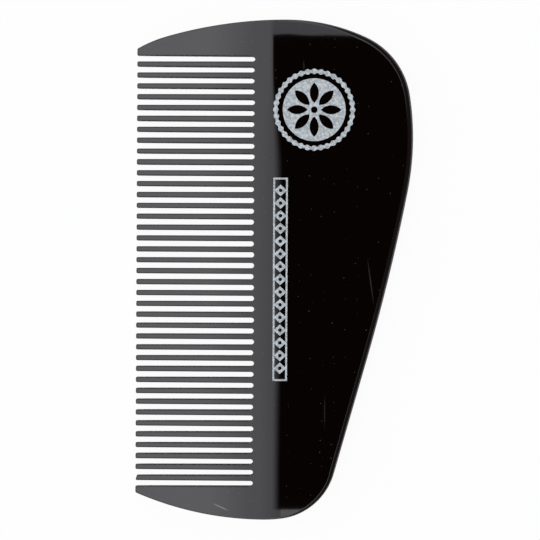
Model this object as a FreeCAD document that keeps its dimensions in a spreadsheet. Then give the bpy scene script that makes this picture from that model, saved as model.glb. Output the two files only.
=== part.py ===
# A pocket beard comb: one flat plate of hard rubber with a tapered row of
# saw-cut teeth, an end guard on either side of the row, and a printed
# medallion and border on its upper face.
#
# Frame, in millimetres: the comb lies flat on z = 0. X runs from the tooth
# tips (-X) to the back edge (+X), Y runs along the tooth row, Z is up.
# x = 0 and y = 0 are the middle of the plan.
import FreeCAD, Part
import math
import os
import Sketcher

Vector = FreeCAD.Vector
Constraint = Sketcher.Constraint
START, END, CENTRE = range(1, 4)
ORIGIN = (-1, 1)
Y_AXIS = -2
TOLERANCE = 1e-6

SIZES = {
    # Plan of the whole comb
    "width": 45.7,
    "length": 82.7,
    "corner_radius": 22.0,
    "corner_reach": 4.9,
    "crown_radius": 72.5,
    "crest_radius": 31.0,
    "crest_sweep": 25.0,
    "shoulder_radius": 12.6,
    "side_radius": 46.0,
    "side_sweep": 20.0,
    "flank_radius": 340.0,
    "flank_sweep": 4.9,
    "flank_lean": 15.9,
    "heel_radius": 10.4,
    "tuck_radius": 23.0,
    "tuck_sweep": 7.0,
    "sole_radius": 54.0,
    "tip_corner_radius": 0.5,
    # Thickness, from the flat back down to the tooth tips
    "back_thickness": 4.0,
    "tip_thickness": 1.8,
    "flat_width": 23.4,
    "crease_radius": 40.0,
    "edge_radius": 0.45,
    # Saw-cut teeth
    "tooth_count": 39,
    "gap_root_width": 0.855,
    "gap_tip_width": 0.91,
    "gap_depth": 19.46,
    "saw_edge_radius": 0.2,
    "upper_guard_tip": 1.175,
    "lower_guard_tip": 1.144,
    # Printed marks
    "print_thickness": 0.05,
    "medallion_diameter": 13.2,
    "medallion_back_distance": 16.4,
    "medallion_end_distance": 14.9,
    "ring_width": 0.5,
    "bead_diameter": 0.9,
    "rosette_diameter": 10.4,
    "petal_length": 3.4,
    "petal_width": 1.5,
    "petal_start": 1.1,
    "border_length": 33.6,
    "border_width": 2.4,
    "border_back_distance": 21.9,
    "border_shift": 1.6,
    "rail_width": 0.3,
    "lozenge_pitch": 2.1,
}

BEAD_COUNT = 36
PETAL_COUNT = 8
ROUNDING_LIMIT = 0.45  # most of the tip's thickness that one rounded edge may take
LOZENGE_FILL = 0.9  # how much of its pitch a lozenge fills

# Places worked out from the sizes, as expressions of the document
TIP_X = "-sizes.width / 2"
ROOT_X = "(sizes.gap_depth - sizes.gap_root_width / 2 - sizes.width / 2)"
ROOT_HALF_GAP = "sizes.gap_root_width / 2"
TIP_HALF_GAP = "sizes.gap_tip_width / 2"
UPPER_LIMIT = "(outline.Constraints.upper_corner / 1 mm - sizes.upper_guard_tip)"
LOWER_LIMIT = "(outline.Constraints.lower_corner / 1 mm + sizes.lower_guard_tip)"
FIRST_GAP_Y = f"({UPPER_LIMIT} - {TIP_HALF_GAP})"
LAST_GAP_Y = f"({LOWER_LIMIT} + {TIP_HALF_GAP})"
TOOTH_PITCH = f"(({FIRST_GAP_Y} - {LAST_GAP_Y}) / sizes.tooth_count)"
EDGE_RADIUS = f"min(sizes.edge_radius; {ROUNDING_LIMIT} * sizes.tip_thickness)"
PAST_X = "(sizes.width / 2 + sizes.back_thickness)"
PAST_Y = "(sizes.length / 2 + sizes.back_thickness)"
GAP_FLARE = "(sizes.gap_tip_width - sizes.gap_root_width) / (2 * sizes.gap_depth - sizes.gap_root_width)"
PAST_HALF_GAP = f"({TIP_HALF_GAP} + {GAP_FLARE} * sizes.back_thickness)"


def fill_sheet(document):
    sheet = document.addObject("Spreadsheet::Sheet", "sizes")
    for row, (alias, value) in enumerate(SIZES.items(), start=1):
        sheet.set(f"A{row}", alias)
        sheet.set(f"B{row}", str(value))
        sheet.setAlias(f"B{row}", alias)
    document.recompute()
    return sheet


def value_of(expression):
    result = sheet.evalExpression(expression)
    return float(getattr(result, "Value", result))


def add_body(label, base=None):
    body = doc.addObject("PartDesign::Body", label)
    body.Label = label
    if base:
        body.BaseFeature = base
        doc.recompute()
    return body


def add_sketch(body, name, role="XY_Plane", height=None):
    sketch = body.newObject("Sketcher::SketchObject", name)
    plane = next(p for p in body.Origin.OriginFeatures if p.Role == role)
    sketch.AttachmentSupport = (plane, "")
    sketch.MapMode = "FlatFace"
    if height:
        sketch.setExpression("AttachmentOffset.Base.z", height)
    return sketch


def bind(sketch, expression, kind, *places):
    index = sketch.addConstraint(Constraint(kind, *places, value_of(expression)))
    sketch.setExpression(f"Constraints[{index}]", expression)
    return index


def bind_angle(sketch, alias, *places):
    index = sketch.addConstraint(Constraint("Angle", *places, math.radians(SIZES[alias])))
    sketch.setExpression(f"Constraints[{index}]", f"sizes.{alias}")


def add_polygon(sketch, corners):
    # Closed polygon whose corners are pairs of expressions.
    points = [Vector(value_of(x), value_of(y), 0) for x, y in corners]
    sides = []
    for start, end in zip(points, points[1:] + points[:1]):
        sides.append(sketch.addGeometry(Part.LineSegment(start, end), False))
    for side, following, (x, y) in zip(sides, sides[1:] + sides[:1], corners[1:] + corners[:1]):
        sketch.addConstraint(Constraint("Coincident", side, END, following, START))
        bind(sketch, x, "DistanceX", *ORIGIN, following, START)
        bind(sketch, y, "DistanceY", *ORIGIN, following, START)


def add_circle(sketch, x, y, radius):
    centre = Vector(value_of(x), value_of(y), 0)
    circle = sketch.addGeometry(Part.Circle(centre, Vector(0, 0, 1), value_of(radius)), False)
    bind(sketch, x, "DistanceX", *ORIGIN, circle, CENTRE)
    bind(sketch, y, "DistanceY", *ORIGIN, circle, CENTRE)
    bind(sketch, radius, "Radius", circle)


def add_pad(body, sketch, name, length, midplane=False):
    pad = body.newObject("PartDesign::Pad", name)
    pad.Profile = sketch
    pad.Midplane = midplane
    pad.setExpression("Length", length)
    doc.recompute()
    return pad


def add_common(name, base, tool):
    common = doc.addObject("Part::Common", name)
    common.Base = base
    common.Tool = tool
    doc.recompute()
    return common


def cut_through(body, sketch, name):
    # The cut runs both ways out of its sketch plane, so it always meets the solid.
    pocket = body.newObject("PartDesign::Pocket", name)
    pocket.Profile = sketch
    pocket.Type = "ThroughAll"
    pocket.Midplane = True
    before = body.BaseFeature.Shape.Volume
    doc.recompute()
    if pocket.Shape.Volume >= before:
        raise RuntimeError(f"{name} cuts nothing")
    return pocket


def round_edges(body, base, name, radius, wall, spared):
    # Rounds the edges of every face that wall() accepts, except the spared ones.
    chosen = {edge.hashCode() for face in base.Shape.Faces if wall(face) for edge in face.Edges}
    edges = [
        f"Edge{number}" for number, edge in enumerate(base.Shape.Edges, start=1)
        if edge.hashCode() in chosen and not spared(edge)
    ]
    if not edges:
        raise RuntimeError(f"{name} found no edges")
    fillet = body.newObject("PartDesign::Fillet", name)
    fillet.Base = (base, edges)
    fillet.setExpression("Radius", radius)
    doc.recompute()
    return fillet


def face_normal(face):
    u_start, u_end, v_start, v_end = face.ParameterRange
    return face.normalAt((u_start + u_end) / 2, (v_start + v_end) / 2)


def is_saw_cut(face):
    return isinstance(face.Surface, Part.Plane) and abs(face_normal(face).y) > 0.9


def is_curved_wall(face):
    return isinstance(face.Surface, Part.Cylinder) and abs(face_normal(face).z) < TOLERANCE


def is_gap_bottom(face):
    return is_curved_wall(face) and abs(face.Surface.Radius - value_of(ROOT_HALF_GAP)) < TOLERANCE


def is_outline_wall(face):
    return abs(face_normal(face).z) < TOLERANCE and not is_saw_cut(face) and not is_gap_bottom(face)


def is_upright(edge):
    box = edge.BoundBox
    return max(box.XLength, box.YLength) < TOLERANCE


def is_not_tip_corner(edge):
    return not is_upright(edge) or abs(edge.BoundBox.XMin - value_of(TIP_X)) > TOLERANCE


def at_root(edge):
    # True for an edge in the plane where the teeth and the back plate meet.
    box = edge.BoundBox
    return box.XLength < TOLERANCE and abs(box.XMin - value_of(ROOT_X)) < TOLERANCE


def is_upright_or_at_root(edge):
    return is_upright(edge) or at_root(edge)


def outward(heading):
    # Unit vector from a clockwise arc's centre to its point with this heading.
    return Vector(-math.sin(heading), math.cos(heading), 0)


def outline_arcs():
    # The plan's tangent arcs, clockwise from the upper tooth corner, each with
    # its centre, radius and the headings where it starts and ends. Heading 0
    # is +X at the top of the plan, and falls on the way round.
    size = {name: float(value) for name, value in SIZES.items()}
    half_width, half_length = size["width"] / 2, size["length"] / 2
    radius = {name[:-7]: value for name, value in size.items() if name.endswith("_radius")}
    sweep = {name[:-6]: math.radians(value) for name, value in size.items() if name.endswith("_sweep")}
    lean = -math.pi / 2 - math.radians(size["flank_lean"])
    side_end = lean + sweep["flank"]
    side_start = side_end + sweep["side"]
    tuck_start = sweep["tuck"] - math.pi

    def next_centre(centre, name, following, heading):
        return centre + outward(heading) * (radius[name] - radius[following])

    crest = Vector(0, half_length - radius["crest"], 0)
    shoulder = next_centre(crest, "crest", "shoulder", -sweep["crest"])
    side = next_centre(shoulder, "shoulder", "side", side_start)
    shift = Vector(half_width - radius["side"] - side.x, 0, 0)
    crest, shoulder, side = crest + shift, shoulder + shift, side + shift
    flank = next_centre(side, "side", "flank", side_end)
    crown = next_centre(crest, "crest", "crown", 0)
    crown_start = math.asin((crown.x + half_width - size["corner_reach"]) / radius["crown"])
    corner = next_centre(crown, "crown", "corner", crown_start)
    corner_start = math.asin((corner.x + half_width) / radius["corner"])

    straight_start = flank + outward(lean) * radius["flank"]
    tuck = Vector(0, radius["tuck"] - half_length, 0)
    heel = next_centre(tuck, "tuck", "heel", tuck_start)
    heel_start = heel + outward(lean) * radius["heel"]
    run = (heel_start.y - straight_start.y) / math.sin(lean)
    shift = Vector(straight_start.x + run * math.cos(lean) - heel_start.x, 0, 0)
    heel, tuck = heel + shift, tuck + shift
    sole = next_centre(tuck, "tuck", "sole", -math.pi)
    sole_end = -math.pi - math.asin((sole.x + half_width) / radius["sole"])

    return [
        ("corner", corner, radius["corner"], corner_start, crown_start),
        ("crown", crown, radius["crown"], crown_start, 0),
        ("crest", crest, radius["crest"], 0, -sweep["crest"]),
        ("shoulder", shoulder, radius["shoulder"], -sweep["crest"], side_start),
        ("side", side, radius["side"], side_start, side_end),
        ("flank", flank, radius["flank"], side_end, lean),
        ("heel", heel, radius["heel"], lean, tuck_start),
        ("tuck", tuck, radius["tuck"], tuck_start, -math.pi),
        ("sole", sole, radius["sole"], -math.pi, sole_end),
    ]


def draw_outline(sketch):
    arcs = outline_arcs()
    piece, first_point, last_point = {}, {}, {}
    for name, centre, radius, start, end in arcs:
        circle = Part.Circle(centre, Vector(0, 0, 1), radius)
        arc = Part.ArcOfCircle(circle, end + math.pi / 2, start + math.pi / 2)
        piece[name] = sketch.addGeometry(arc, False)
        first_point[name] = centre + outward(start) * radius
        last_point[name] = centre + outward(end) * radius
    straight = sketch.addGeometry(Part.LineSegment(last_point["flank"], first_point["heel"]), False)
    tips = sketch.addGeometry(Part.LineSegment(last_point["sole"], first_point["corner"]), False)

    # A clockwise arc starts at its geometry's end, and ends at its start.
    order = [name for name, *rest in arcs]
    for name, following in zip(order, order[1:]):
        if name != "flank":
            sketch.addConstraint(Constraint("Tangent", piece[name], START, piece[following], END))
    sketch.addConstraint(Constraint("Tangent", piece["flank"], START, straight, START))
    sketch.addConstraint(Constraint("Tangent", straight, END, piece["heel"], END))
    sketch.addConstraint(Constraint("Coincident", piece["sole"], START, tips, START))
    sketch.addConstraint(Constraint("Coincident", tips, END, piece["corner"], END))
    sketch.addConstraint(Constraint("Vertical", tips))

    for name in order:
        bind(sketch, f"sizes.{name}_radius", "Radius", piece[name])
    for name in ("crest", "side", "flank", "tuck"):
        bind_angle(sketch, f"{name}_sweep", piece[name])
    bind_angle(sketch, "flank_lean", straight, END, Y_AXIS, START)

    bind(sketch, TIP_X, "DistanceX", *ORIGIN, tips, START)
    bind(sketch, "sizes.corner_reach", "DistanceX", tips, END, piece["corner"], START)
    bind(sketch, "sizes.length / 2 - sizes.crest_radius", "DistanceY", *ORIGIN, piece["crest"], CENTRE)
    bind(sketch, "sizes.width / 2 - sizes.side_radius", "DistanceX", *ORIGIN, piece["side"], CENTRE)
    bind(sketch, "sizes.tuck_radius - sizes.length / 2", "DistanceY", *ORIGIN, piece["tuck"], CENTRE)
    sketch.addConstraint(Constraint("Vertical", piece["crest"], END, piece["crest"], CENTRE))
    sketch.addConstraint(Constraint("Vertical", piece["tuck"], START, piece["tuck"], CENTRE))

    # Where the outline meets the line of the tips; the tooth row is fitted between.
    tip_corners = {"upper_corner": (END, first_point["corner"]), "lower_corner": (START, last_point["sole"])}
    for name, (end, point) in tip_corners.items():
        index = sketch.addConstraint(Constraint("DistanceY", *ORIGIN, tips, end, point.y))
        sketch.setDriving(index, False)
        sketch.renameConstraint(index, name)
    doc.recompute()
    if not sketch.FullyConstrained:
        raise RuntimeError("the outline is not fully constrained")


def make_plate():
    # The plate before it is sawn and rounded: what the plan and the side view share.
    plan = add_body("plan")
    outline = add_sketch(plan, "outline", height="-sizes.back_thickness")
    draw_outline(outline)
    add_pad(plan, outline, "plan_pad", "3 * sizes.back_thickness")

    side_view = add_body("side_view")
    profile = add_sketch(side_view, "profile", role="XZ_Plane")
    draw_profile(profile)
    add_pad(side_view, profile, "profile_pad", f"2 * {PAST_Y}", midplane=True)
    return add_common("plate", plan, side_view)


def draw_profile(sketch):
    # Side view: flat back, a large-radius crease on both faces, then a straight taper.
    size = {name: float(value) for name, value in SIZES.items()}
    thickness, radius = size["back_thickness"], size["crease_radius"]
    tip_x = -size["width"] / 2
    flat_x = size["width"] / 2 - size["flat_width"]
    drop = (thickness - size["tip_thickness"]) / 2
    reach = math.hypot(flat_x - tip_x, radius - drop)
    slope = math.atan2(flat_x - tip_x, radius - drop) - math.acos(radius / reach)
    crease_x = flat_x - radius * math.sin(slope)
    crease_drop = radius * (1 - math.cos(slope))

    past_x = value_of(PAST_X)
    points = [
        Vector(past_x, 0, 0), Vector(past_x, thickness, 0), Vector(flat_x, thickness, 0),
        Vector(crease_x, thickness - crease_drop, 0), Vector(tip_x, thickness - drop, 0),
        Vector(tip_x, drop, 0), Vector(crease_x, crease_drop, 0), Vector(flat_x, 0, 0),
    ]
    back, top, _, upper_taper, tips, lower_taper, _, bottom = [
        None if index in (2, 6) else sketch.addGeometry(Part.LineSegment(start, end), False)
        for index, (start, end) in enumerate(zip(points, points[1:] + points[:1]))
    ]
    up = math.pi / 2
    upper_circle = Part.Circle(Vector(flat_x, thickness - radius, 0), Vector(0, 0, 1), radius)
    upper_crease = sketch.addGeometry(Part.ArcOfCircle(upper_circle, up, up + slope), False)
    lower_circle = Part.Circle(Vector(flat_x, radius, 0), Vector(0, 0, 1), radius)
    lower_crease = sketch.addGeometry(Part.ArcOfCircle(lower_circle, -up - slope, -up), False)

    sketch.addConstraint(Constraint("Coincident", bottom, END, back, START))
    sketch.addConstraint(Constraint("Coincident", back, END, top, START))
    sketch.addConstraint(Constraint("Tangent", top, END, upper_crease, START))
    sketch.addConstraint(Constraint("Tangent", upper_crease, END, upper_taper, START))
    sketch.addConstraint(Constraint("Coincident", upper_taper, END, tips, START))
    sketch.addConstraint(Constraint("Coincident", tips, END, lower_taper, START))
    sketch.addConstraint(Constraint("Tangent", lower_taper, END, lower_crease, START))
    sketch.addConstraint(Constraint("Tangent", lower_crease, END, bottom, START))
    sketch.addConstraint(Constraint("Vertical", back))
    sketch.addConstraint(Constraint("Vertical", tips))
    sketch.addConstraint(Constraint("Horizontal", top))
    sketch.addConstraint(Constraint("Horizontal", bottom))
    bind(sketch, PAST_X, "DistanceX", *ORIGIN, back, START)
    bind(sketch, "0", "DistanceY", *ORIGIN, back, START)
    bind(sketch, "sizes.back_thickness", "DistanceY", *ORIGIN, top, START)
    for crease, end in ((upper_crease, START), (lower_crease, END)):
        bind(sketch, "sizes.width / 2 - sizes.flat_width", "DistanceX", *ORIGIN, crease, end)
        bind(sketch, "sizes.crease_radius", "Radius", crease)
    bind(sketch, TIP_X, "DistanceX", *ORIGIN, tips, START)
    bind(sketch, "(sizes.back_thickness - sizes.tip_thickness) / 2", "DistanceY", *ORIGIN, tips, END)
    bind(sketch, "(sizes.back_thickness + sizes.tip_thickness) / 2", "DistanceY", *ORIGIN, tips, START)


def saw_out(label, plate, corners):
    # The share of the plate that lies inside a polygon of the plan.
    zone = add_body(f"{label}_zone")
    sketch = add_sketch(zone, f"{label}_plan", height="-sizes.back_thickness")
    add_polygon(sketch, corners)
    add_pad(zone, sketch, f"{label}_block", "3 * sizes.back_thickness")
    return add_body(label, add_common(f"{label}_share", plate, zone))


def make_back_plate(plate):
    # Everything from the round bottoms of the gaps to the back edge.
    body = saw_out("back_plate", plate, [
        (ROOT_X, f"-{PAST_Y}"), (PAST_X, f"-{PAST_Y}"), (PAST_X, PAST_Y), (ROOT_X, PAST_Y),
    ])
    gap_end = add_sketch(body, "gap_end")
    add_circle(gap_end, ROOT_X, FIRST_GAP_Y, ROOT_HALF_GAP)
    first_gap = cut_through(body, gap_end, "first_gap_bottom")
    gaps = body.newObject("PartDesign::LinearPattern", "gap_bottoms")
    gaps.Originals = [first_gap]
    gaps.Direction = (gap_end, ["V_Axis"])
    gaps.Reversed = True
    gaps.Mode = "Spacing"
    gaps.setExpression("Offset", TOOTH_PITCH)
    gaps.setExpression("Occurrences", "sizes.tooth_count + 1")
    body.Tip = gaps
    doc.recompute()
    rounded = round_edges(body, gaps, "rounded_back", EDGE_RADIUS, is_outline_wall, is_upright_or_at_root)
    round_edges(body, rounded, "polished_gap_bottoms", "sizes.saw_edge_radius",
                is_gap_bottom, is_upright_or_at_root)
    return body


def make_end_guard(label, plate, gap_y, side):
    # side is 1 above the tooth row and -1 below it.
    body = saw_out(label, plate, [
        (ROOT_X, f"{gap_y} + {side} * {ROOT_HALF_GAP}"), (ROOT_X, f"{side} * {PAST_Y}"),
        (f"-{PAST_X}", f"{side} * {PAST_Y}"), (f"-{PAST_X}", f"{gap_y} + {side} * {PAST_HALF_GAP}"),
    ])
    corner = round_edges(body, body.Tip, f"{label}_corner", "sizes.tip_corner_radius",
                         is_curved_wall, is_not_tip_corner)
    rounded = round_edges(body, corner, f"rounded_{label}", EDGE_RADIUS,
                          is_outline_wall, is_upright_or_at_root)
    round_edges(body, rounded, f"polished_{label}", "sizes.saw_edge_radius", is_saw_cut, at_root)
    return body


def make_first_tooth(plate):
    # The uppermost tooth, between the first two gaps, a little narrower at its tip.
    middle = f"({FIRST_GAP_Y} - {TOOTH_PITCH} / 2)"
    root_half = f"({TOOTH_PITCH} / 2 - {ROOT_HALF_GAP})"
    past_half = f"({TOOTH_PITCH} / 2 - {PAST_HALF_GAP})"
    body = saw_out("tooth_01", plate, [
        (ROOT_X, f"{middle} - {root_half}"), (ROOT_X, f"{middle} + {root_half}"),
        (f"-{PAST_X}", f"{middle} + {past_half}"), (f"-{PAST_X}", f"{middle} - {past_half}"),
    ])
    rounded = round_edges(body, body.Tip, "rounded_tooth_tip", EDGE_RADIUS,
                          is_outline_wall, is_upright_or_at_root)
    round_edges(body, rounded, "polished_tooth", "sizes.saw_edge_radius", is_saw_cut, at_root)
    return body


def make_teeth(plate):
    teeth = [make_first_tooth(plate)]
    for number in range(2, SIZES["tooth_count"] + 1):
        tooth = add_body(f"tooth_{number:02d}", teeth[0])
        tooth.setExpression("Placement.Base.y", f"-{number - 1} * {TOOTH_PITCH}")
        teeth.append(tooth)
    doc.recompute()
    return teeth


def add_print(label, x, y):
    # A film of ink on the upper face, built about its own middle.
    body = add_body(label)
    body.setExpression("Placement.Base.x", x)
    body.setExpression("Placement.Base.y", y)
    body.setExpression("Placement.Base.z", "sizes.back_thickness")
    doc.recompute()
    return body


def add_medallion_print(label):
    return add_print(label, "sizes.width / 2 - sizes.medallion_back_distance",
                     "sizes.length / 2 - sizes.medallion_end_distance")


def repeat_round(body, feature, sketch, name, count):
    pattern = body.newObject("PartDesign::PolarPattern", name)
    pattern.Originals = [feature]
    pattern.Axis = (sketch, ["N_Axis"])
    pattern.Angle = 360
    pattern.Occurrences = count
    body.Tip = pattern
    doc.recompute()


def make_beaded_ring():
    body = add_medallion_print("print_ring")
    ring = add_sketch(body, "ring")
    add_circle(ring, "0", "0", "sizes.medallion_diameter / 2")
    add_circle(ring, "0", "0", "sizes.medallion_diameter / 2 - sizes.ring_width")
    add_pad(body, ring, "ring_film", "sizes.print_thickness")
    bead = add_sketch(body, "bead")
    add_circle(bead, "(sizes.medallion_diameter - sizes.ring_width) / 2", "0", "sizes.bead_diameter / 2")
    bead_film = add_pad(body, bead, "bead_film", "sizes.print_thickness")
    repeat_round(body, bead_film, bead, "beads", BEAD_COUNT)
    return body


def draw_petal(sketch):
    # A lens of two equal arcs, pointing away from the middle of the rosette.
    start, length, width = (SIZES[f"petal_{name}"] for name in ("start", "length", "width"))
    radius = (length ** 2 + width ** 2) / (4 * width)
    middle = start + length / 2
    half_angle = math.asin(length / 2 / radius)
    depth = radius - width / 2
    arc_radius = "(sizes.petal_length ^ 2 + sizes.petal_width ^ 2) / (4 * sizes.petal_width)"
    for side in (1, -1):
        circle = Part.Circle(Vector(middle, -side * depth, 0), Vector(0, 0, 1), radius)
        top = side * math.pi / 2
        arc = sketch.addGeometry(Part.ArcOfCircle(circle, top - half_angle, top + half_angle), False)
        inner, outer = (END, START) if side == 1 else (START, END)
        bind(sketch, "sizes.petal_start", "DistanceX", *ORIGIN, arc, inner)
        bind(sketch, "0", "DistanceY", *ORIGIN, arc, inner)
        bind(sketch, "sizes.petal_start + sizes.petal_length", "DistanceX", *ORIGIN, arc, outer)
        bind(sketch, "0", "DistanceY", *ORIGIN, arc, outer)
        bind(sketch, arc_radius, "Radius", arc)


def make_rosette():
    body = add_medallion_print("print_rosette")
    disc = add_sketch(body, "disc")
    add_circle(disc, "0", "0", "sizes.rosette_diameter / 2")
    add_circle(disc, "0", "0", "sizes.petal_start / 2")
    disc_film = add_pad(body, disc, "disc_film", "sizes.print_thickness")
    petal = add_sketch(body, "petal")
    draw_petal(petal)
    first_petal = body.newObject("PartDesign::Pocket", "first_petal")
    first_petal.Profile = petal
    first_petal.Type = "ThroughAll"
    first_petal.Midplane = True
    doc.recompute()
    if first_petal.Shape.Volume >= disc_film.Shape.Volume:
        raise RuntimeError("the petal cuts nothing")
    repeat_round(body, first_petal, petal, "petals", PETAL_COUNT)
    return body


def make_border():
    # Two rails joined by a row of lozenges, each with a round hole.
    body = add_print("print_border", "sizes.width / 2 - sizes.border_back_distance", "-sizes.border_shift")
    rails = add_sketch(body, "rails")
    half_width, half_length = "sizes.border_width / 2", "sizes.border_length / 2"
    add_rectangle(rails, half_width, half_length)
    add_rectangle(rails, f"({half_width} - sizes.rail_width)", f"({half_length} - sizes.rail_width)")
    add_pad(body, rails, "rail_film", "sizes.print_thickness")

    room = "(sizes.border_length - 2 * sizes.rail_width)"
    count = f"floor({room} / sizes.lozenge_pitch)"
    first_y = f"(({count} - 1) * sizes.lozenge_pitch / 2)"
    reach = "(sizes.border_width - sizes.rail_width) / 2"
    half_lozenge = f"{LOZENGE_FILL} * sizes.lozenge_pitch / 2"
    lozenge = add_sketch(body, "lozenge")
    add_polygon(lozenge, [
        (f"-{reach}", first_y), ("0", f"{first_y} - {half_lozenge}"), (reach, first_y),
        ("0", f"{first_y} + {half_lozenge}"),
    ])
    add_circle(lozenge, "0", first_y, "sizes.rail_width")
    lozenge_film = add_pad(body, lozenge, "lozenge_film", "sizes.print_thickness")
    lozenges = body.newObject("PartDesign::LinearPattern", "lozenges")
    lozenges.Originals = [lozenge_film]
    lozenges.Direction = (lozenge, ["V_Axis"])
    lozenges.Reversed = True
    lozenges.Mode = "Spacing"
    lozenges.setExpression("Offset", "sizes.lozenge_pitch")
    lozenges.setExpression("Occurrences", count)
    body.Tip = lozenges
    doc.recompute()
    return body


def add_rectangle(sketch, half_x, half_y):
    add_polygon(sketch, [
        (f"-{half_x}", f"-{half_y}"), (half_x, f"-{half_y}"), (half_x, half_y), (f"-{half_x}", half_y),
    ])


def export(pieces):
    for item in doc.Objects:
        if "Invalid" in item.State or "Error" in item.State:
            raise RuntimeError(f"{item.Name} failed: {item.State}")
    for piece in pieces:
        if piece.Shape.isNull() or not piece.Shape.isValid():
            raise RuntimeError(f"{piece.Label} has no valid shape")
        if len(piece.Shape.Solids) != 1:
            raise RuntimeError(f"{piece.Label} is {len(piece.Shape.Solids)} solids")
    os.makedirs("parts", exist_ok=True)
    for piece in pieces:
        piece.Shape.exportStep(f"parts/{piece.Label}.step")
        print(f"{piece.Label}: {piece.Shape.Volume:.2f} mm3")


doc = FreeCAD.newDocument("beard_comb")
sheet = fill_sheet(doc)
plate = make_plate()
pieces = [
    make_back_plate(plate),
    make_end_guard("end_guard_upper", plate, FIRST_GAP_Y, 1),
    make_end_guard("end_guard_lower", plate, LAST_GAP_Y, -1),
    *make_teeth(plate),
    make_beaded_ring(),
    make_rosette(),
    make_border(),
]
doc.recompute()
export(pieces)
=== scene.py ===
import random
from math import asin, atan2, cos, pi, radians, sin, sqrt, tan

import bmesh
import bpy
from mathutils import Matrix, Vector


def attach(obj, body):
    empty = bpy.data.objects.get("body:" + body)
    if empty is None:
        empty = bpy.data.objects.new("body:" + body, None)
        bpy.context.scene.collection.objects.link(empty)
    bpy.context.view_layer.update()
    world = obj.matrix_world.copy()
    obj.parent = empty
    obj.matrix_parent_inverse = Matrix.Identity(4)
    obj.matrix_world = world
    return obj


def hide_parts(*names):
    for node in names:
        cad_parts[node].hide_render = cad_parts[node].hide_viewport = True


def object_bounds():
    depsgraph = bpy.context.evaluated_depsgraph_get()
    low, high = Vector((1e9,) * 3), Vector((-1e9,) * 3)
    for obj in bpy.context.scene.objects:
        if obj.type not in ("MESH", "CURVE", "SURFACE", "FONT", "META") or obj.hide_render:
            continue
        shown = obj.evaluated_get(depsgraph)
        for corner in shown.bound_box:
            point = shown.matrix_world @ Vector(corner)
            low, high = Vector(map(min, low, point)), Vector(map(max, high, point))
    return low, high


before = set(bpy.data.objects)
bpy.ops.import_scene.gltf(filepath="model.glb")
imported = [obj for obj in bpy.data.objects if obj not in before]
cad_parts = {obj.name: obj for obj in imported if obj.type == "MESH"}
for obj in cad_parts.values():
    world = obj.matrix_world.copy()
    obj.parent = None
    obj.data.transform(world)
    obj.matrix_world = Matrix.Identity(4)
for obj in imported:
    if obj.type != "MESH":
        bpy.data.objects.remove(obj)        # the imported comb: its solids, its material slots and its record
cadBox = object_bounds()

# The comb lies flat on z = 0: teeth towards -X, back towards +X, broad end towards +Y.
mm = 0.001
low, high = cadBox
upAxis = Vector((0, 0, 1))
print("frame loaded, comb", round((high.y - low.y) / mm, 1), "mm long")


# The plate with its sawn teeth.
plate = {                              # millimetres and degrees
    "backBends": [(31.0, 25.0), (12.6, 56.0), (46.0, 20.0), (340.0, 4.9)],   # crest, shoulder, side, flank
    "sideBend": 2,                     # the bend that reaches furthest back
    "heelBends": [(10.4, 67.1), (23.0, 7.0)],
    "soleRadius": 54.0,
    "crownRadius": 72.5,
    "cornerRadius": 22.0,
    "cornerReach": 4.9,                # from the line of the tips to where the corner meets the crown
    "tipCorner": 0.3,                  # rounding of the two guards at the line of the tips
    "degreesPerStep": 3.0,             # a drawn bend turns about this far at each of its points,
    "stepLength": 1.2,                 # or has them about this far apart, whichever takes more of them
    "fewestSteps": 3,                  # a bend has at least so many, and the ones below have a fixed number
    "tipSteps": 4,
    "soleSteps": 30,
    "cornerSteps": 6,
    "crownSteps": 20,
    "mergeWithin": 0.02,               # points of the outline that are nearer to each other become one
    "thickness": 4.0,
    "tipThickness": 1.8,
    "creaseX": -0.6,                   # where the taper and the flat would meet in a sharp crease
    "creaseRadius": 84.0,              # it is rounded off by hand, softest around the middle
    "upperCrease": (15.0, 34.0, 12.0),    # above the middle: y from, y to, and the radius from there on
    "lowerCrease": (0.0, 36.0, 72.0),
    "creaseZone": (-3.1, 1.6),         # x from and to, where the faces get lines that they can bend at
    "creaseSpacing": 0.2,
    "rootX": -4.3,                     # where the teeth are parted from the root for even shading
    "cutTolerance": 0.0005,
    "levelNormal": 0.9,                # a face with a more upright normal is on one of the two broad sides
}
teeth = {
    "count": 39,
    "rootGap": 0.855,
    "tipGap": 0.91,
    "gapDepth": 19.46,
    "upperGuard": 1.175,
    "lowerGuard": 1.144,
    "cornerRadius": 0.24,              # plan rounding of a tooth's tip
    "cornerSteps": 4,
    "sawWander": 0.025,                # how far one saw cut strays from the row's even pitch
    "depthWander": 0.08,
    "filedTip": (0.05, 0.2),           # the lowest tooth was filed at a slant: its lower and upper corner
    "gapSteps": 8,
    "seed": 39,
}
rims = {                               # rounding of the edges, in millimetres
    "saw": 0.2,
    "tips": 0.22,
    "back": 0.95,
    "growsBetween": (-6.0, 21.0),      # x where the outline's rounding starts to grow, and where it is full
    "segments": 5,
}


def facing(heading):                   # from a clockwise bend's centre to its point with this heading
    return Vector((-sin(heading), cos(heading), 0))


def walk(point, heading, bends):       # bends end to end: each one's centre, radius and headings
    steps = []
    for radius, sweep in bends:
        centre = point - facing(heading) * radius * mm
        steps.append((centre, radius * mm, heading, heading - radians(sweep)))
        heading -= radians(sweep)
        point = centre + facing(heading) * radius * mm
    return steps, point, heading


def lineTo(bm, pen, point):            # draws on from the last point, and returns the new one
    made = bmesh.ops.extrude_vert_indiv(bm, verts=[pen])["verts"][0]
    made.co = point
    return made


def bendTo(bm, pen, centre, angle, steps):
    made = bmesh.ops.spin(bm, geom=[pen], cent=centre, axis=upAxis, angle=angle, steps=steps)
    return next(item for item in made["geom_last"] if isinstance(item, bmesh.types.BMVert))


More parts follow.
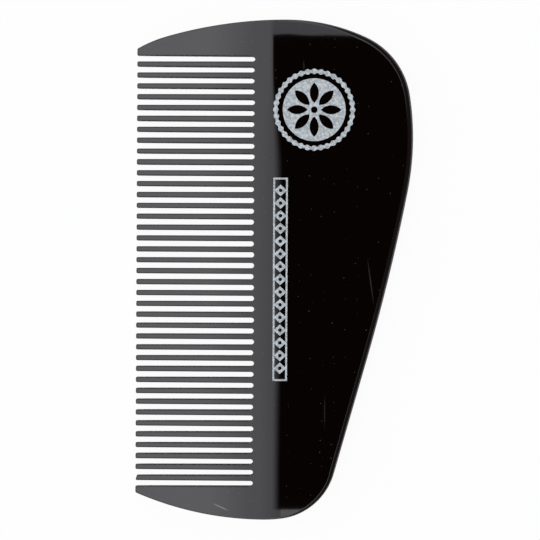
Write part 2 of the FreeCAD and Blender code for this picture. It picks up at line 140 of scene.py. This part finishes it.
def bendSteps(radius, sweep):
    return max(plate["fewestSteps"], int(max(abs(sweep) / radians(plate["degreesPerStep"]),
                                             abs(sweep) * radius / (plate["stepLength"] * mm))))


def drawBack(bm, pen, steps):
    for centre, radius, start, end in steps:
        pen = bendTo(bm, pen, centre, end - start, bendSteps(radius, end - start))
    return pen


def drawGap(bm, pen, y, wander, below, above):
    # One saw cut, from the tip of the tooth below it to the tip of the tooth above it.
    corner = teeth["cornerRadius"] * mm
    cornerSteps = teeth["cornerSteps"]
    bottomRadius = teeth["rootGap"] / 2 * mm
    y += wander.uniform(-1, 1) * teeth["sawWander"] * mm
    depth = teeth["gapDepth"] + wander.uniform(-1, 1) * teeth["depthWander"]
    bottomX = low.x + depth * mm - bottomRadius
    tipHalf = (teeth["tipGap"] + wander.uniform(-1, 1) * teeth["sawWander"]) / 2 * mm
    below, above = low.x + below * mm, low.x + above * mm     # where the two teeth end
    pen = lineTo(bm, pen, Vector((below, y - tipHalf - corner, 0)))
    pen = bendTo(bm, pen, Vector((below + corner, y - tipHalf - corner, 0)), -pi / 2, cornerSteps)
    pen = lineTo(bm, pen, Vector((bottomX, y - bottomRadius, 0)))
    pen = bendTo(bm, pen, Vector((bottomX, y, 0)), pi, teeth["gapSteps"])
    pen = lineTo(bm, pen, Vector((above + corner, y + tipHalf, 0)))
    return bendTo(bm, pen, Vector((above + corner, y + tipHalf + corner, 0)), -pi / 2, cornerSteps)


def drawOutline():
    bm = bmesh.new()
    rim = bm.verts.layers.float.new("rim")
    # Where the bends lie: first from x = 0, then moved so that the side bend touches the box.
    top = Vector((0, high.y, 0))
    steps, _, _ = walk(top, 0, plate["backBends"])
    side = steps[plate["sideBend"]]
    top.x = high.x - side[0].x - side[1]
    back, flankEnd, lean = walk(top, 0, plate["backBends"])
    lowest = walk(flankEnd, lean, plate["heelBends"])[1]
    run = (lowest.y - low.y) / -sin(lean)
    heelStart = flankEnd + Vector((cos(lean), sin(lean), 0)) * run
    heel, tuckEnd, heading = walk(heelStart, lean, plate["heelBends"])
    soleRadius = plate["soleRadius"] * mm
    sole = tuckEnd - facing(heading) * soleRadius
    soleEnd = -pi - asin((sole.x - low.x) / soleRadius)
    lowerY = (sole + facing(soleEnd) * soleRadius).y
    crown = top - facing(0) * plate["crownRadius"] * mm
    crownStart = asin((crown.x - low.x - plate["cornerReach"] * mm) / (plate["crownRadius"] * mm))
    corner = crown + facing(crownStart) * (plate["crownRadius"] - plate["cornerRadius"]) * mm
    cornerStart = asin((corner.x - low.x) / (plate["cornerRadius"] * mm))
    upperY = (corner + facing(cornerStart) * plate["cornerRadius"] * mm).y

    pen = bm.verts.new(top)
    pen = drawBack(bm, pen, back)
    pen = lineTo(bm, pen, heelStart)
    pen = drawBack(bm, pen, heel)
    tip = plate["tipCorner"] * mm
    turn = 3 * pi / 2 + soleEnd        # from the sole to the line of the tips
    trim = tip * tan(turn / 2) / soleRadius
    pen = bendTo(bm, pen, sole, soleEnd - heading + trim, plate["soleSteps"])
    pen = bendTo(bm, pen, pen.co - facing(soleEnd) * tip, -turn, plate["tipSteps"])
    outlineVerts = set(bm.verts)

    # Up the line of the tips, one saw cut after another.
    upperLimit = upperY - (teeth["upperGuard"] + teeth["tipGap"] / 2) * mm
    lowerLimit = lowerY + (teeth["lowerGuard"] + teeth["tipGap"] / 2) * mm
    pitch = (upperLimit - lowerLimit) / teeth["count"]
    sawRandom = random.Random(teeth["seed"])
    for index in range(teeth["count"] + 1):
        below = teeth["filedTip"][1] if index == 1 else 0
        above = teeth["filedTip"][0] if index == 0 else 0
        pen = drawGap(bm, pen, lowerLimit + index * pitch, sawRandom, below, above)
    sawVerts = set(bm.verts) - outlineVerts
    turn = pi / 2 - cornerStart
    trim = tip * tan(turn / 2)
    pen = lineTo(bm, pen, Vector((low.x, upperY - trim, 0)))
    pen = bendTo(bm, pen, pen.co + Vector((tip, 0, 0)), -turn, plate["tipSteps"])
    turn = crownStart - cornerStart + trim / (plate["cornerRadius"] * mm)
    pen = bendTo(bm, pen, corner, turn, plate["cornerSteps"])
    bendTo(bm, pen, crown, -crownStart, plate["crownSteps"])

    # Each point of the outline knows how widely its rim is rounded.
    start, end = (place * mm for place in rims["growsBetween"])
    for vert in bm.verts:
        grown = min(1, max(0, (vert.co.x - start) / (end - start)))
        grown = grown * grown * (3 - 2 * grown)        # eases in and out
        vert[rim] = rims["saw"] if vert in sawVerts else rims["tips"] + (rims["back"] - rims["tips"]) * grown
    bmesh.ops.remove_doubles(bm, verts=bm.verts, dist=plate["mergeWithin"] * mm)
    return bm, [lowerLimit + (index - 0.5) * pitch for index in range(teeth["count"] + 2)]


def faceDrop(x, y):                    # how far a face lies under the flat: straight taper, crease, flat
    tipDrop = (plate["thickness"] - plate["tipThickness"]) / 2 * mm
    slope = atan2(tipDrop, plate["creaseX"] * mm - low.x)
    start, end, endRadius = plate["upperCrease"] if y > 0 else plate["lowerCrease"]
    away = (1 - cos(pi * min(1, max(0, (abs(y) / mm - start) / (end - start))))) / 2
    radius = (plate["creaseRadius"] + (endRadius - plate["creaseRadius"]) * away) * mm
    flatX = plate["creaseX"] * mm + radius * tan(slope / 2)
    if x >= flatX:
        return 0
    if flatX - x < radius * sin(slope):
        return radius - sqrt(radius ** 2 - (flatX - x) ** 2)
    return tipDrop - (x - low.x) * tan(slope)


def cutAcross(bm, point, direction, zone=None):
    faces = [face for face in bm.faces if zone is None or zone(face)]
    edges = {edge for face in faces for edge in face.edges}
    verts = {vert for face in faces for vert in face.verts}
    bmesh.ops.bisect_plane(bm, geom=list(verts) + list(edges) + faces,
                           dist=plate["cutTolerance"] * mm, plane_co=point, plane_no=direction)


def isBroadSide(face):
    return abs(face.normal.z) > plate["levelNormal"]


def makeComb():
    bm, toothLines = drawOutline()
    bmesh.ops.edgeloop_fill(bm, edges=bm.edges[:])
    raised = bmesh.ops.extrude_face_region(bm, geom=bm.faces[:])["geom"]
    bmesh.ops.translate(bm, verts=[item for item in raised if isinstance(item, bmesh.types.BMVert)],
                        vec=upAxis * plate["thickness"] * mm)
    bmesh.ops.recalc_face_normals(bm, faces=bm.faces)

    # Lines across the faces where the crease bends them, and along the middle of each tooth.
    start, end = (place * mm for place in plate["creaseZone"])
    rootX = plate["rootX"] * mm
    cutAcross(bm, Vector((rootX, 0, 0)), Vector((1, 0, 0)))
    count = round((end - start) / (plate["creaseSpacing"] * mm))
    for index in range(count + 1):
        cutAcross(bm, Vector((start + (end - start) * index / count, 0, 0)), Vector((1, 0, 0)))

    def behindTeeth(face):
        return isBroadSide(face) and rootX < face.calc_center_median().x < end

    for y in toothLines:
        cutAcross(bm, Vector((0, y, 0)), Vector((0, 1, 0)), behindTeeth)

    # Only the edges where a face meets a wall are rounded, each as wide as its rim says.
    rim = bm.verts.layers.float["rim"]
    weight = bm.edges.layers.float.new("bevel_weight_edge")
    bm.normal_update()
    for edge in bm.edges:
        broad = [isBroadSide(face) for face in edge.link_faces]
        if broad.count(True) == 1 and len(broad) == 2:
            edge[weight] = sum(vert[rim] for vert in edge.verts) / 2 / rims["back"]
    middle = low.z + plate["thickness"] / 2 * mm
    for vert in bm.verts:
        drop = faceDrop(vert.co.x, vert.co.y)
        vert.co.z += drop if vert.co.z + low.z < middle else -drop
    bmesh.ops.translate(bm, verts=bm.verts, vec=upAxis * low.z)

    mesh = bpy.data.meshes.new("hardRubberComb")
    bm.to_mesh(mesh)
    bm.free()
    comb = bpy.data.objects.new("hardRubberComb", mesh)
    bpy.context.scene.collection.objects.link(comb)
    mesh.shade_smooth()
    rounding = comb.modifiers.new("rims", "BEVEL")
    rounding.limit_method = "WEIGHT"
    rounding.width = rims["back"] * mm
    rounding.segments = rims["segments"]
    rounding.use_clamp_overlap = False
    rounding.material = 1
    rounding.loop_slide = False
    rounding.harden_normals = True     # the flat faces stay flat up to their rounded edges
    return comb


# The finishes.
def linear(code):                      # an sRGB hex colour as Blender's linear one
    parts = [int(code[place:place + 2], 16) / 255 for place in (1, 3, 5)]
    return [part / 12.92 if part <= 0.04045 else ((part + 0.055) / 1.055) ** 2.4 for part in parts] + [1]


def addNode(tree, kind, inputs=None, **settings):
    # An input is a number, a colour, another node's socket, or another node, for its first output.
    node = tree.nodes.new(kind)
    for name, value in settings.items():
        setattr(node, name, value)
    for name, value in (inputs or {}).items():
        if isinstance(value, bpy.types.Node):
            value = value.outputs[0]
        if isinstance(value, bpy.types.NodeSocket):
            tree.links.new(value, node.inputs[name])
        else:
            node.inputs[name].default_value = value
    return node


def newMaterial(name):
    material = bpy.data.materials.new(name)
    material.use_nodes = True
    material.node_tree.nodes.clear()
    return material, material.node_tree


ebonite = {                            # lengths in millimetres
    "black": "#090403",                # sulphur-cured rubber is a brown so deep that it reads as black
    "rimBrown": "#150D09",             # its rounded edges are coloured a shade browner
    "scratched": "#6E6C6B",
    "dust": "#4F4C49",
    "roughness": 0.01,
    "rimRoughness": 0.06,
    "sawnRoughness": 0.45,
    "ior": 1.6,
    "waveLength": 9.0,                 # between the swells that hand polishing leaves
    "waveDepth": 0.0015,
    "waveDetail": 1.0,
    # Light scratches on the printed side: x, y, length, slant in degrees, and how plainly each one shows
    "scratches": ((-8.7, -39.3, 3.3, -24, 1.0), (15.9, -1.9, 8.7, -82, 0.15),
                  (8.4, -23.5, 6.1, -90, 0.1), (4.7, 33.7, 2.2, -88, 0.12)),
    "scratchWidth": 0.3,
    "scratchFade": (1.0, 0.4),         # shares of its half width where a scratch starts and is in full
    "dustSpacing": 1.9,
    "dustSize": 0.04,                  # a grain's radius as a share of the spacing
    "dustShare": 0.5,                  # how many of the places hold a grain
    "lying": (0.8, 0.9),               # level enough to hold dust and show scratches, which no wall is
}


def hardRubber(name, black, isRim):
    # Vulcanised hard rubber, sawn, then polished on a felt wheel: a mirror-like black
    # with faint swells, a few light scratches and grains of dust.
    material, tree = newMaterial(name)
    coordinates = addNode(tree, "ShaderNodeTexCoord")
    place = coordinates.outputs["Object"]
    waves = addNode(tree, "ShaderNodeTexNoise", {"Vector": place, "Scale": 1 / (ebonite["waveLength"] * mm),
                                                 "Detail": ebonite["waveDetail"]})
    bump = addNode(tree, "ShaderNodeBump", {"Height": waves, "Strength": 1.0,
                                            "Distance": ebonite["waveDepth"] * mm})

    # Each scratch is a long thin lens, and the plainest one counts where two of them meet.
    start, end = ebonite["lying"]
    height = addNode(tree, "ShaderNodeSeparateXYZ", {0: coordinates.outputs["Normal"]}).outputs["Z"]
    liesUp = addNode(tree, "ShaderNodeMapRange", {"Value": height, "From Min": start, "From Max": end})
    dull, full = ebonite["scratchFade"]
    scratches = 0.0
    for x, y, length, slant, level in ebonite["scratches"]:
        lens = addNode(tree, "ShaderNodeMapping",
                       {"Vector": place, "Location": (x * mm, y * mm, 0), "Rotation": (0, 0, radians(slant)),
                        "Scale": (length / 2 * mm, ebonite["scratchWidth"] / 2 * mm, 1)},
                       vector_type="TEXTURE")
        reach = addNode(tree, "ShaderNodeVectorMath", {0: lens}, operation="LENGTH").outputs["Value"]
        scratch = addNode(tree, "ShaderNodeMapRange", {"Value": reach, "From Min": dull, "From Max": full,
                                                       "To Min": 0.0, "To Max": level})
        scratches = addNode(tree, "ShaderNodeMath", {0: scratches, 1: scratch}, operation="MAXIMUM")
    scratches = addNode(tree, "ShaderNodeMath", {0: scratches, 1: liesUp}, operation="MULTIPLY")

    # Grains of dust of several sizes, on both broad sides.
    flatness = addNode(tree, "ShaderNodeMath", {0: height}, operation="ABSOLUTE")
    liesFlat = addNode(tree, "ShaderNodeMapRange", {"Value": flatness, "From Min": start, "From Max": end})
    grains = addNode(tree, "ShaderNodeTexVoronoi",
                     {"Vector": place, "Scale": 1 / (ebonite["dustSpacing"] * mm)}, voronoi_dimensions="2D")
    chance = addNode(tree, "ShaderNodeSeparateXYZ", {0: grains.outputs["Color"]})
    size = addNode(tree, "ShaderNodeMapRange",
                   {"Value": chance, "From Min": 0.0, "From Max": ebonite["dustShare"],
                    "To Min": ebonite["dustSize"], "To Max": 0.0})
    isGrain = addNode(tree, "ShaderNodeMath", {0: grains.outputs["Distance"], 1: size}, operation="LESS_THAN")
    isDust = addNode(tree, "ShaderNodeMath", {0: isGrain, 1: liesFlat}, operation="MULTIPLY")

    rubber = addNode(tree, "ShaderNodeMix", {"Factor": scratches, "A": linear(black),
                                             "B": linear(ebonite["scratched"])}, data_type="RGBA")
    colour = addNode(tree, "ShaderNodeMix", {"Factor": isDust, "A": rubber.outputs["Result"],
                                             "B": linear(ebonite["dust"])}, data_type="RGBA")
    surface = addNode(tree, "ShaderNodeBsdfPrincipled",
                      {"Base Color": colour.outputs["Result"], "Normal": bump,
                       "Roughness": ebonite["roughness"], "IOR": ebonite["ior"]})
    if isRim:                          # the saw's edges stay duller than the outline's
        rim = addNode(tree, "ShaderNodeAttribute", attribute_name="rim").outputs["Fac"]
        roughness = addNode(tree, "ShaderNodeMapRange",
                            {"Value": rim, "From Min": rims["saw"], "From Max": rims["tips"],
                             "To Min": ebonite["sawnRoughness"], "To Max": ebonite["rimRoughness"]})
        tree.links.new(roughness.outputs[0], surface.inputs["Roughness"])
    addNode(tree, "ShaderNodeOutputMaterial", {"Surface": surface})
    return material


ink = {
    "silver": "#D0D8D7",
    "thin": "#A4ACAC",
    "roughness": 0.55,
    "clumpSize": 0.35,                 # millimetres
    "clumpDetail": 3.0,
    "clumpRange": (0.4, 0.62),         # from thin ink to full
}


def printedInk():
    # Silver-white pad-printing ink: matt, and a little thin where the pad lifted.
    material, tree = newMaterial("padPrintedInk")
    place = addNode(tree, "ShaderNodeTexCoord").outputs["Object"]
    clumps = addNode(tree, "ShaderNodeTexNoise", {"Vector": place, "Scale": 1 / (ink["clumpSize"] * mm),
                                                  "Detail": ink["clumpDetail"]})
    thin, full = ink["clumpRange"]
    cover = addNode(tree, "ShaderNodeMapRange", {"Value": clumps, "From Min": thin, "From Max": full})
    colour = addNode(tree, "ShaderNodeMix", {"Factor": cover, "A": linear(ink["thin"]),
                                             "B": linear(ink["silver"])}, data_type="RGBA")
    surface = addNode(tree, "ShaderNodeBsdfPrincipled",
                      {"Base Color": colour.outputs["Result"], "Roughness": ink["roughness"]})
    addNode(tree, "ShaderNodeOutputMaterial", {"Surface": surface})
    return material


# The studio.
studio = {
    "white": "#FFFFFF",
    "floorSize": 6.0,                  # metres
    "floorWhite": "#F8F8F8",
    "floorGlow": 0.95,                 # the share of its white that is its own, which keeps the shadow faint
    "floorGap": 0.02,                  # millimetres under the comb
    "skyTint": "#F7F7FF",              # the white tent is a trace cool
    "skyLevel": 1.4,
    "horizon": 0.001,                  # the lowest height whose slope counts
    "overheadLevel": 1.01,
    "overheadRise": 4.3,               # the overhead gets brighter away from the dark card, towards -X
    "teethFrom": 0.1028,               # the slope from which the tapered teeth reflect it
    "teethRise": 65.0,
    "overheadPeak": 2.1,
    "overheadEdge": (0.985, 0.93),     # cosines between which the overhead passes into the sky
    # A dark card straight overhead, as slopes from the vertical: x from, x to, y from, y to.
    "card": (-0.045, 0.3, -0.0495, 0.0487),
    "cardFade": 0.047,                 # its edge towards -X is soft
    "darkSide": (0.1, 0.32),           # the studio's dark side, towards +X
    "darkSideLevel": 0.05,
    "cameraHeight": 0.8,
    "sensorWidth": 36.0,               # millimetres
    "clip": (0.01, 20),
    "viewWidth": 89.45,                # millimetres across the view
    "viewCentre": (-0.73, -0.07),
    "viewTurn": 0.27,
    # A softbox: x from, x to, y from and y to in metres at its height, and its radiance.
    "softbox": (0.001, 0.12, -0.25, -0.089, 0.65),
    "softboxHeight": 1.0,
}


def makeFloor():
    bm = bmesh.new()
    bmesh.ops.create_grid(bm, x_segments=1, y_segments=1, size=studio["floorSize"] / 2)
    bmesh.ops.translate(bm, verts=bm.verts, vec=(0, 0, low.z - studio["floorGap"] * mm))
    mesh = bpy.data.meshes.new("studioFloor")
    bm.to_mesh(mesh)
    bm.free()
    floor = bpy.data.objects.new("studioFloor", mesh)
    bpy.context.scene.collection.objects.link(floor)
    material, tree = newMaterial("whiteSweep")
    isSeen = addNode(tree, "ShaderNodeLightPath").outputs["Is Camera Ray"]
    paper = addNode(tree, "ShaderNodeBsdfDiffuse", {"Color": linear(studio["floorWhite"])})
    glow = addNode(tree, "ShaderNodeEmission", {"Strength": 1.0})
    share = addNode(tree, "ShaderNodeMath", {0: isSeen, 1: studio["floorGlow"]}, operation="MULTIPLY")
    both = addNode(tree, "ShaderNodeMixShader", {0: share, 1: paper, 2: glow})
    addNode(tree, "ShaderNodeOutputMaterial", {"Surface": both})
    mesh.materials.append(material)


def makeSky():
    # A white tent: bright overhead towards -X, dark towards +X, with a dark card straight above.
    world = bpy.data.worlds.new("whiteTent")
    bpy.context.scene.world = world
    world.use_nodes = True
    tree = world.node_tree
    tree.nodes.clear()
    left, right, near, far = studio["card"]
    darkStart, darkEnd = studio["darkSide"]
    edgeStart, edgeEnd = studio["overheadEdge"]

    direction = addNode(tree, "ShaderNodeTexCoord").outputs["Generated"]
    x, y, z = addNode(tree, "ShaderNodeSeparateXYZ", {0: direction}).outputs
    height = addNode(tree, "ShaderNodeMath", {0: z, 1: studio["horizon"]}, operation="MAXIMUM")
    slopeX = addNode(tree, "ShaderNodeMath", {0: x, 1: height}, operation="DIVIDE")
    slopeY = addNode(tree, "ShaderNodeMath", {0: y, 1: height}, operation="DIVIDE")

    # The dark card.
    pastLeft = addNode(tree, "ShaderNodeMapRange", {"Value": slopeX, "From Min": left,
                                                    "From Max": left + studio["cardFade"]},
                       interpolation_type="SMOOTHSTEP")
    beforeRight = addNode(tree, "ShaderNodeMath", {0: slopeX, 1: right}, operation="LESS_THAN")
    pastNear = addNode(tree, "ShaderNodeMath", {0: slopeY, 1: near}, operation="GREATER_THAN")
    beforeFar = addNode(tree, "ShaderNodeMath", {0: slopeY, 1: far}, operation="LESS_THAN")
    insideX = addNode(tree, "ShaderNodeMath", {0: pastLeft, 1: beforeRight}, operation="MULTIPLY")
    insideY = addNode(tree, "ShaderNodeMath", {0: pastNear, 1: beforeFar}, operation="MULTIPLY")
    onCard = addNode(tree, "ShaderNodeMath", {0: insideX, 1: insideY}, operation="MULTIPLY")
    openSky = addNode(tree, "ShaderNodeMath", {0: 1.0, 1: onCard}, operation="SUBTRACT")

    # The overhead, which rises gently and then steeply away from the card, up to its peak.
    leftwards = addNode(tree, "ShaderNodeMath", {0: slopeX, 1: -1.0}, operation="MULTIPLY")
    away = addNode(tree, "ShaderNodeMath", {0: leftwards, 1: 0.0}, operation="MAXIMUM")
    gentle = addNode(tree, "ShaderNodeMath", {0: away, 1: studio["overheadRise"]}, operation="MULTIPLY")
    base = addNode(tree, "ShaderNodeMath", {0: studio["overheadLevel"], 1: gentle}, operation="ADD")
    past = addNode(tree, "ShaderNodeMath", {0: away, 1: studio["teethFrom"]}, operation="SUBTRACT")
    beyond = addNode(tree, "ShaderNodeMath", {0: past, 1: 0.0}, operation="MAXIMUM")
    steep = addNode(tree, "ShaderNodeMath", {0: beyond, 1: studio["teethRise"]}, operation="MULTIPLY")
    rising = addNode(tree, "ShaderNodeMath", {0: base, 1: steep}, operation="ADD")
    overhead = addNode(tree, "ShaderNodeMath", {0: rising, 1: studio["overheadPeak"]}, operation="MINIMUM")
    outwards = addNode(tree, "ShaderNodeMapRange", {"Value": z, "From Min": edgeStart, "From Max": edgeEnd},
                       interpolation_type="SMOOTHSTEP")
    sky = addNode(tree, "ShaderNodeMix", {"Factor": outwards, "A": overhead, "B": studio["skyLevel"]})

    # All of it dims towards +X, and the camera sees plain white.
    side = addNode(tree, "ShaderNodeMapRange", {"Value": x, "From Min": darkStart, "From Max": darkEnd,
                                                "To Min": 1.0, "To Max": studio["darkSideLevel"]},
                   interpolation_type="SMOOTHSTEP")
    uncovered = addNode(tree, "ShaderNodeMath", {0: sky, 1: openSky}, operation="MULTIPLY")
    lit = addNode(tree, "ShaderNodeMath", {0: uncovered, 1: side}, operation="MULTIPLY")
    isSeen = addNode(tree, "ShaderNodeLightPath").outputs["Is Camera Ray"]
    strength = addNode(tree, "ShaderNodeMix", {"Factor": isSeen, "A": lit, "B": 1.0})
    tint = addNode(tree, "ShaderNodeMix", {"Factor": isSeen, "A": linear(studio["skyTint"]),
                                           "B": linear(studio["white"])}, data_type="RGBA")
    glow = addNode(tree, "ShaderNodeBackground", {"Color": tint.outputs["Result"], "Strength": strength})
    addNode(tree, "ShaderNodeOutputWorld", {"Surface": glow})


def makeSoftbox():
    left, right, near, far, radiance = studio["softbox"]
    lamp = bpy.data.lights.new("softbox", "AREA")
    lamp.shape = "RECTANGLE"
    lamp.size, lamp.size_y = right - left, far - near
    lamp.energy = radiance * pi * lamp.size * lamp.size_y
    holder = bpy.data.objects.new("softbox", lamp)
    holder.location = ((left + right) / 2, (near + far) / 2, studio["softboxHeight"])
    holder.visible_camera = False
    bpy.context.scene.collection.objects.link(holder)


def makeCamera():
    camera = bpy.data.cameras.new("overheadCamera")
    camera.sensor_width = studio["sensorWidth"]
    camera.lens = camera.sensor_width * studio["cameraHeight"] / (studio["viewWidth"] * mm)
    camera.clip_start, camera.clip_end = studio["clip"]
    holder = bpy.data.objects.new("overheadCamera", camera)
    x, y = studio["viewCentre"]
    holder.location = (x * mm, y * mm, studio["cameraHeight"] + (low.z + high.z) / 2)
    holder.rotation_euler = (0, 0, radians(studio["viewTurn"]))
    bpy.context.scene.collection.objects.link(holder)
    bpy.context.scene.camera = holder


# Everything together.
comb = makeComb()
comb.data.materials.append(hardRubber("polishedEbonite", ebonite["black"], isRim=False))
# the rounded edges, in a tone a shade browner than the rest
comb.data.materials.append(hardRubber("roundedEdgeEbonite", ebonite["rimBrown"], isRim=True))
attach(comb, "root")
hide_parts(*sorted(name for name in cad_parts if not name.startswith("print_")))
print("comb made,", len(comb.data.polygons), "faces before rounding")

silver = printedInk()
for name in ("print_ring", "print_rosette", "print_border"):
    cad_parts[name].material_slots[0].material = silver
print("print finished")

makeFloor()
makeSky()
makeSoftbox()
makeCamera()
bpy.context.scene.view_settings.view_transform = "Standard"
print("studio ready")
